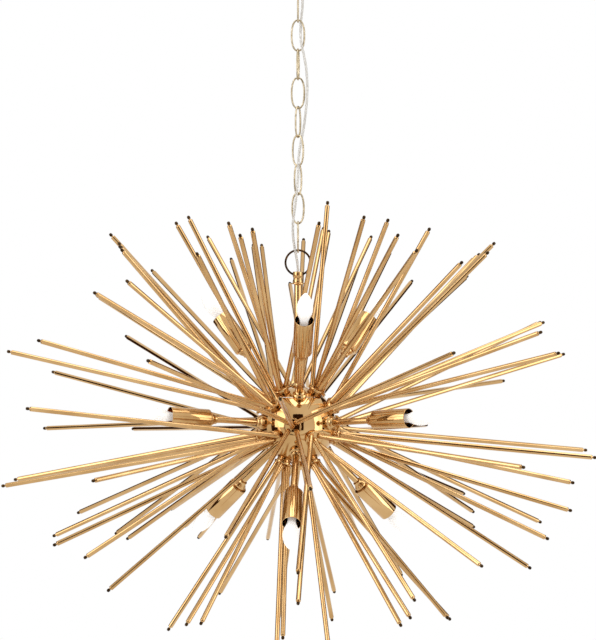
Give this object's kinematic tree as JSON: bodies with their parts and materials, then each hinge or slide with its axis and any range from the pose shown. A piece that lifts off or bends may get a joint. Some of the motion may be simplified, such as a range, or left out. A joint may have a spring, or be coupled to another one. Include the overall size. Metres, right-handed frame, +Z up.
{
  "type": "sputnik chandelier",
  "caption": "Sputnik chandelier: a brass ball hub bristling with slim rods and candle socket cups, on a pipe stem, a link chain and a ceiling canopy.",
  "frame": {"origin": "middle of the crossbar's top face, where the canopy's rim meets the ceiling", "axes": "+Z up out of the ceiling fitting into the ceiling, the front towards -Y, +X to the right of the front view"},
  "size_m": [1.0055, 0.964, 1.1752],
  "materials": {
    "polished_brass": "polished",
    "antique_brass": "aged",
    "dark_brass": "dark patina",
    "steel": "zinc plated",
    "frosted_glass": "frosted",
    "holder_plastic": "satin",
    "nickel_cap": "nickel plated",
    "clear_flex": "translucent"
  },
  "bodies": {
    "ceiling_fitting": {"canopy_dome": "polished_brass", "canopy_crossbar": "steel", "canopy_nipple": "steel", "canopy_locknut": "steel", "canopy_nut": "polished_brass", "canopy_loop_collar": "polished_brass", "canopy_loop_ring": "polished_brass", "flex_1": "clear_flex"},
    "top_link": {"chain_link_top": "antique_brass", "flex_2": "clear_flex"},
    "chain": {"chain_run": "antique_brass"},
    "bottom_link": {"chain_link_bottom": "antique_brass", "flex_3": "clear_flex"},
    "fixture": {"hanging_ring": "dark_brass", "stem_collar": "polished_brass", "lock_ring": "polished_brass", "stem_pipe": "polished_brass", "stem_neck": "polished_brass", "hub_cap": "polished_brass", "hub_body": "polished_brass", "centre_pipe": "steel", "hub_washers": "steel", "hub_nuts": "steel", "hub_finial": "polished_brass", "socket_arms": "polished_brass", "arm_bosses": "polished_brass", "cup_checks": "polished_brass", "socket_cups": "polished_brass", "lampholders": "holder_plastic", "bosses_crown": "polished_brass", "bosses_upper": "polished_brass", "bosses_middle": "polished_brass", "bosses_lower": "polished_brass", "bosses_foot": "polished_brass", "rods_crown": "polished_brass", "rods_upper": "polished_brass", "rods_middle": "polished_brass", "rods_lower": "polished_brass", "rods_foot": "polished_brass", "flex_4": "clear_flex"},
    "bulb_1": {"bulb_glass_1": "frosted_glass", "bulb_cap_1": "nickel_cap"},
    "bulb_2": {"bulb_glass_2": "frosted_glass", "bulb_cap_2": "nickel_cap"},
    "bulb_3": {"bulb_glass_3": "frosted_glass", "bulb_cap_3": "nickel_cap"},
    "bulb_4": {"bulb_glass_4": "frosted_glass", "bulb_cap_4": "nickel_cap"},
    "bulb_5": {"bulb_glass_5": "frosted_glass", "bulb_cap_5": "nickel_cap"},
    "bulb_6": {"bulb_glass_6": "frosted_glass", "bulb_cap_6": "nickel_cap"},
    "bulb_7": {"bulb_glass_7": "frosted_glass", "bulb_cap_7": "nickel_cap"},
    "bulb_8": {"bulb_glass_8": "frosted_glass", "bulb_cap_8": "nickel_cap"},
    "bulb_9": {"bulb_glass_9": "frosted_glass", "bulb_cap_9": "nickel_cap"}
  },
  "joints": [
    {"name": "top_link_swing", "type": "hinge", "parent": "ceiling_fitting", "child": "top_link", "pos_m": [0, 0, -0.08725], "axis": [1, 0, 0], "range_deg": [-30, 30], "deforming": ["flex_1"]},
    {"name": "chain_swing", "type": "hinge", "parent": "top_link", "child": "chain", "pos_m": [0, 0, -0.1358], "axis": [0, 1, 0], "range_deg": [-30, 30], "deforming": ["flex_2"]},
    {"name": "bottom_link_swing", "type": "hinge", "parent": "chain", "child": "bottom_link", "pos_m": [0, 0, -0.4774], "axis": [0.9205, -0.3907, 0], "range_deg": [-20, 20], "deforming": ["flex_3"]},
    {"name": "fixture_swing", "type": "hinge", "parent": "bottom_link", "child": "fixture", "pos_m": [0, 0, -0.5262], "axis": [0, 1, 0], "range_deg": [-20, 20], "deforming": ["flex_4"]},
    {"name": "bulb_1_out", "type": "slide", "parent": "fixture", "child": "bulb_1", "axis": [0.0439, -0.6278, 0.7771], "range_m": [0, 0.045]},
    {"name": "bulb_2_out", "type": "slide", "parent": "fixture", "child": "bulb_2", "axis": [0.5217, 0.3519, 0.7771], "range_m": [0, 0.045]},
    {"name": "bulb_3_out", "type": "slide", "parent": "fixture", "child": "bulb_3", "axis": [-0.5656, 0.2759, 0.7771], "range_m": [0, 0.045]},
    {"name": "bulb_4_out", "type": "slide", "parent": "fixture", "child": "bulb_4", "axis": [0.7909, -0.6069, 0.0785], "range_m": [0, 0.045]},
    {"name": "bulb_5_out", "type": "slide", "parent": "fixture", "child": "bulb_5", "axis": [0.1301, 0.9884, 0.0785], "range_m": [0, 0.045]},
    {"name": "bulb_6_out", "type": "slide", "parent": "fixture", "child": "bulb_6", "axis": [-0.921, -0.3815, 0.0785], "range_m": [0, 0.045]},
    {"name": "bulb_7_out", "type": "slide", "parent": "fixture", "child": "bulb_7", "axis": [-0.0457, -0.7476, -0.6626], "range_m": [0, 0.045]},
    {"name": "bulb_8_out", "type": "slide", "parent": "fixture", "child": "bulb_8", "axis": [0.6703, 0.3342, -0.6626], "range_m": [0, 0.045]},
    {"name": "bulb_9_out", "type": "slide", "parent": "fixture", "child": "bulb_9", "axis": [-0.6245, 0.4134, -0.6626], "range_m": [0, 0.045]}
  ]
}
